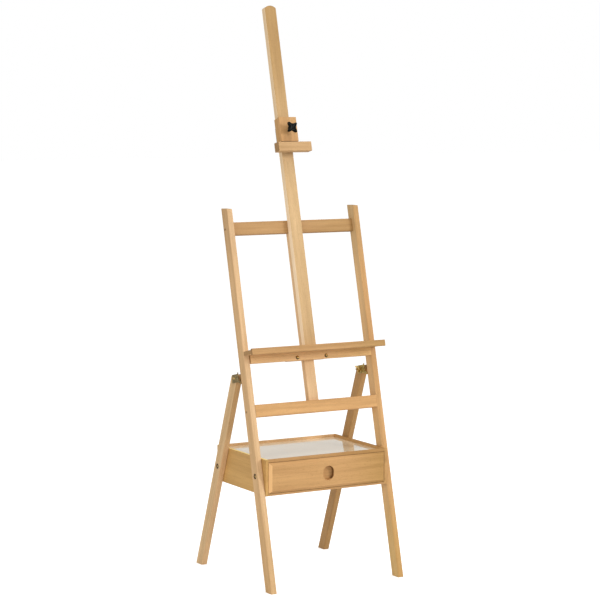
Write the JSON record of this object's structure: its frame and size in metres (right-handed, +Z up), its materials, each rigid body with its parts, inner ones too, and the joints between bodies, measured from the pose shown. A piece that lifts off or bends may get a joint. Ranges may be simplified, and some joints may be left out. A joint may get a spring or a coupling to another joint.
{
  "type": "artist easel",
  "caption": "Studio H-frame artist easel with a sliding mast, clamped canvas holder, sliding canvas tray, hinged rear legs and a storage drawer.",
  "frame": {"origin": "middle of the footprint on the ground", "axes": "+X to the easel's own right-hand side as seen from the painter, -Y towards the painter, +Z up"},
  "size_m": [0.5406, 0.55, 1.9843],
  "materials": {
    "beech": "satin oiled hardwood, grain along each piece",
    "thin_board": "thin unfinished board",
    "white_laminate": "gloss white laminate",
    "brass": "satin brass",
    "bronze_steel": "dark bronze lacquer",
    "zinc_steel": "zinc plated",
    "black_plastic": "semi-matte black"
  },
  "bodies": {
    "frame": {"left_stile": "beech", "right_stile": "beech", "left_top_screw": "zinc_steel", "right_top_screw": "zinc_steel", "left_low_screw": "zinc_steel", "right_low_screw": "zinc_steel", "top_crossbar": "beech", "lower_crossbar": "beech", "centre_rail": "beech", "left_front_case_bolt": "brass", "right_front_case_bolt": "brass", "left_hinge_bracket": "bronze_steel", "right_hinge_bracket": "bronze_steel", "left_pivot_bolt": "brass", "right_pivot_bolt": "brass", "cabinet_left_side": "beech", "cabinet_right_side": "beech", "cabinet_left_insert": "brass", "cabinet_right_insert": "brass", "cabinet_back": "beech", "cabinet_front_rail": "beech", "cabinet_sill": "beech", "cabinet_floor": "thin_board", "cabinet_top_panel": "white_laminate"},
    "left_leg": {"left_rear_leg": "beech", "left_rear_case_bolt": "brass"},
    "right_leg": {"right_rear_leg": "beech", "right_rear_case_bolt": "brass"},
    "left_hinge_nut": {"left_hinge_wing_nut": "brass"},
    "right_hinge_nut": {"right_hinge_wing_nut": "brass"},
    "mast": {"mast": "beech", "mast_insert": "brass", "mast_guide_pin": "zinc_steel"},
    "mast_clamp": {"mast_clamp_stud": "zinc_steel", "mast_clamp_knob": "black_plastic"},
    "tray": {"tray_apron": "beech", "tray_clamp_plate": "beech", "tray_shelf": "beech", "tray_lip": "beech", "tray_left_bolt": "brass", "tray_right_bolt": "brass"},
    "tray_left_nut": {"tray_left_wing_nut": "brass"},
    "tray_right_nut": {"tray_right_wing_nut": "brass"},
    "holder": {"holder_front_plate": "beech", "holder_insert": "brass", "holder_left_cheek": "beech", "holder_right_cheek": "beech", "holder_ledge": "beech", "holder_strap": "zinc_steel", "holder_left_screw": "zinc_steel", "holder_right_screw": "zinc_steel"},
    "holder_clamp": {"holder_stud": "zinc_steel", "holder_knob": "black_plastic"},
    "drawer": {"drawer_front": "beech", "drawer_left_side": "beech", "drawer_right_side": "beech", "drawer_back": "beech", "drawer_bottom": "thin_board"}
  },
  "joints": [
    {"name": "mast_slide", "type": "slide", "parent": "frame", "child": "mast", "axis": [0, 0.2419, 0.9703], "range_m": [0, 0.3]},
    {"name": "tray_slide", "type": "slide", "parent": "frame", "child": "tray", "axis": [0, 0.2419, 0.9703], "range_m": [-0.13, 0]},
    {"name": "holder_slide", "type": "slide", "parent": "mast", "child": "holder", "axis": [0, 0.2419, 0.9703], "range_m": [-0.2, 0.38]},
    {"name": "drawer_slide", "type": "slide", "parent": "frame", "child": "drawer", "axis": [0, -1, 0], "range_m": [0, 0.2]},
    {"name": "left_leg_fold", "type": "hinge", "parent": "frame", "child": "left_leg", "pos_m": [-0.254, -0.0131, 0.70202], "axis": [1, 0, 0], "range_deg": [-34, 0]},
    {"name": "right_leg_fold", "type": "hinge", "parent": "frame", "child": "right_leg", "pos_m": [0.254, -0.0131, 0.70202], "axis": [1, 0, 0], "range_deg": [-34, 0]},
    {"name": "mast_clamp_turn", "type": "hinge", "parent": "mast", "child": "mast_clamp", "pos_m": [0, -0.02593, 0.79228], "axis": [0, -0.9703, 0.2419], "continuous": true},
    {"name": "holder_clamp_turn", "type": "hinge", "parent": "holder", "child": "holder_clamp", "pos_m": [0, 0.07157, 1.55536], "axis": [0, -0.9703, 0.2419], "continuous": true},
    {"name": "tray_left_nut_turn", "type": "hinge", "parent": "tray", "child": "tray_left_nut", "pos_m": [-0.058, -0.02506, 0.75444], "axis": [0, -0.9703, 0.2419], "continuous": true},
    {"name": "tray_right_nut_turn", "type": "hinge", "parent": "tray", "child": "tray_right_nut", "pos_m": [0.058, -0.02506, 0.75444], "axis": [0, -0.9703, 0.2419], "continuous": true},
    {"name": "left_hinge_nut_turn", "type": "hinge", "parent": "frame", "child": "left_hinge_nut", "pos_m": [-0.238, -0.0131, 0.70202], "axis": [1, 0, 0], "continuous": true},
    {"name": "right_hinge_nut_turn", "type": "hinge", "parent": "frame", "child": "right_hinge_nut", "pos_m": [0.238, -0.0131, 0.70202], "axis": [1, 0, 0], "continuous": true}
  ]
}
